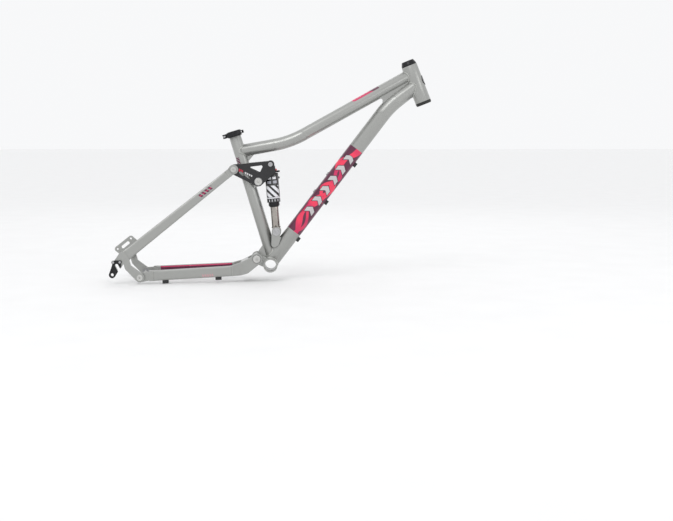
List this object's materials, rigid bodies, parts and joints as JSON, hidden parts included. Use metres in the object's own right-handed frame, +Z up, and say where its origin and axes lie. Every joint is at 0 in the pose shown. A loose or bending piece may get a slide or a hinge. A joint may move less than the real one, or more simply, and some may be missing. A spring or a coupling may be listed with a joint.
{
  "type": "bicycle frame",
  "caption": "Full-suspension mountain bike frame: aluminium front triangle, pivoting rear triangle, rocker link and air shock.",
  "frame": {"origin": "centre of the bottom bracket shell, on the frame's middle plane", "axes": "+X forward along the ground, +Y to the rider's left along the bottom bracket's axis, +Z up; suspension fully extended"},
  "size_m": [0.9463, 0.1593, 0.6558],
  "materials": {
    "frame_paint": "satin metallic silver",
    "top_tube_paint": "satin metallic silver with a maroon flash",
    "down_tube_paint": "satin metallic silver with maroon and pink bands",
    "seat_tube_paint": "satin metallic silver",
    "right_chainstay_paint": "satin metallic silver with a pink mark",
    "left_chainstay_paint": "satin metallic silver",
    "right_seatstay_paint": "satin metallic silver with a maroon mark",
    "left_seatstay_paint": "satin metallic silver with a maroon mark",
    "rocker_black": "black anodised",
    "can_black": "gloss black with white blocks",
    "black_anodised": "black anodised",
    "red_anodised": "red anodised",
    "pivot_alloy": "machined",
    "shaft_alloy": "hard plated and polished",
    "steel": "zinc plated",
    "bearing_steel": "ground",
    "ring_alloy": "plain",
    "black_plastic": "matt",
    "black_rubber": "matt"
  },
  "bodies": {
    "front_triangle": {"head_tube": "frame_paint", "top_tube": "top_tube_paint", "down_tube": "down_tube_paint", "seat_tube": "seat_tube_paint", "bottom_bracket_shell": "frame_paint", "head_gusset": "frame_paint", "seat_gusset": "frame_paint", "shock_bracket": "frame_paint", "rocker_pivot_lug": "frame_paint", "main_pivot_lug": "frame_paint", "main_pivot_axle": "pivot_alloy", "rocker_pivot_axle": "pivot_alloy", "bottle_bosses": "steel", "cable_guides": "black_plastic", "head_badge": "black_plastic", "headset_bearings": "bearing_steel", "compression_ring": "ring_alloy", "headset_cover": "black_anodised", "lower_headset_seal": "black_rubber", "seat_collar": "black_anodised", "collar_skewer": "steel", "collar_nut": "black_anodised"},
    "quick_release_lever": {"quick_release_lever": "black_anodised"},
    "chainstays": {"chainstay_yoke": "frame_paint", "right_chainstay": "right_chainstay_paint", "left_chainstay": "left_chainstay_paint", "chainstay_lugs": "frame_paint", "main_pivot_bearings": "bearing_steel", "horst_bearings": "bearing_steel", "chainstay_cable_guides": "black_plastic"},
    "seatstays": {"right_seatstay": "right_seatstay_paint", "left_seatstay": "left_seatstay_paint", "seatstay_lugs": "frame_paint", "seatstay_bridge": "frame_paint", "right_dropout": "frame_paint", "left_dropout": "frame_paint", "brake_mount": "frame_paint", "derailleur_hanger": "black_anodised", "hanger_bolts": "steel", "horst_bolts": "pivot_alloy", "rear_rocker_bolts": "pivot_alloy"},
    "rocker": {"right_rocker_plate": "rocker_black", "left_rocker_plate": "rocker_black", "rocker_bearings": "bearing_steel", "rear_rocker_bearings": "bearing_steel", "upper_shock_hardware": "steel"},
    "shock_body": {"shock_head": "black_anodised", "upper_eye_bushing": "steel", "air_can": "can_black", "seal_head": "black_anodised", "travel_o_ring": "black_rubber", "air_valve": "black_anodised"},
    "rebound_dial": {"rebound_dial": "red_anodised"},
    "lockout_lever": {"lockout_lever": "black_anodised"},
    "shock_shaft": {"damper_shaft": "shaft_alloy", "air_piston": "black_anodised", "lower_eye": "shaft_alloy", "lower_eye_bushing": "steel", "lower_shock_hardware": "steel"}
  },
  "joints": [
    {"name": "main_pivot", "type": "hinge", "parent": "front_triangle", "child": "chainstays", "pos_m": [-0.04, 0, 0.019], "axis": [0, 1, 0], "range_deg": [0, 17.69], "stiffness_Nm_per_rad": 120},
    {"name": "horst_pivot", "type": "hinge", "parent": "chainstays", "child": "seatstays", "pos_m": [-0.378, 0, -0.03], "axis": [0, 1, 0], "range_deg": [-6.75, 0]},
    {"name": "rocker_pivot", "type": "hinge", "parent": "front_triangle", "child": "rocker", "pos_m": [-0.03495, 0, 0.24684], "axis": [0, 1, 0], "range_deg": [0, 52.5]},
    {"name": "upper_shock_eye", "type": "hinge", "parent": "rocker", "child": "shock_body", "pos_m": [0.00058, 0, 0.29741], "axis": [0, 1, 0], "range_deg": [-43.2, 0]},
    {"name": "shock_travel", "type": "slide", "parent": "shock_body", "child": "shock_shaft", "axis": [-0.0854, 0, 0.9963], "range_m": [0, 0.0467]},
    {"name": "rebound_adjuster", "type": "hinge", "parent": "shock_body", "child": "rebound_dial", "pos_m": [0.00058, 0, 0.29741], "axis": [-0.0854, 0, 0.9963], "range_deg": [-135, 135]},
    {"name": "lockout_switch", "type": "hinge", "parent": "shock_body", "child": "lockout_lever", "pos_m": [0.00058, 0, 0.29741], "axis": [-0.0854, 0, 0.9963], "range_deg": [0, 45]},
    {"name": "lever_pivot", "type": "hinge", "parent": "front_triangle", "child": "quick_release_lever", "pos_m": [-0.13299, -0.0155, 0.37843], "axis": [-0.2907, 0, 0.9568], "range_deg": [-150, 0]}
  ],
  "couplings": [
    {"joint": "horst_pivot", "follows": "main_pivot", "ratio": -0.37701},
    {"joint": "rocker_pivot", "follows": "main_pivot", "ratio": 2.9549},
    {"joint": "upper_shock_eye", "follows": "main_pivot", "ratio": -2.4284},
    {"joint": "shock_travel", "follows": "main_pivot", "m_per_rad": 0.15069}
  ]
}
